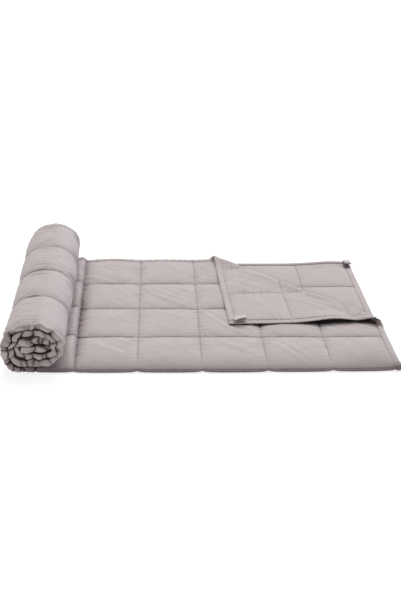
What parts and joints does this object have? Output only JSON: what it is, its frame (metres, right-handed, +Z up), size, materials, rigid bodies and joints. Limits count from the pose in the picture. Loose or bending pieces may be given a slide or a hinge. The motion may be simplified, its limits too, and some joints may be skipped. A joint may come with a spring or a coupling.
{
  "type": "weighted blanket",
  "caption": "Quilted blanket with filled square pockets, folded in half, one end rolled up and one corner turned back, with flat tape loops at its corners.",
  "frame": {"origin": "on the surface it rests on, under the middle of its bounding box", "axes": "+X along the blanket from the roll to the flat end, +Y from the folded edge to the open edges, +Z up"},
  "size_m": [0.6682, 0.45, 0.0859],
  "materials": {
    "blanket": "brushed woven cotton, matte, quilted in squares",
    "tape": "woven cotton tape, matte"
  },
  "bodies": {
    "root": {"blanket": "blanket", "corner_loop_far": "tape", "corner_loop_turned": "tape"}
  },
  "joints": []
}
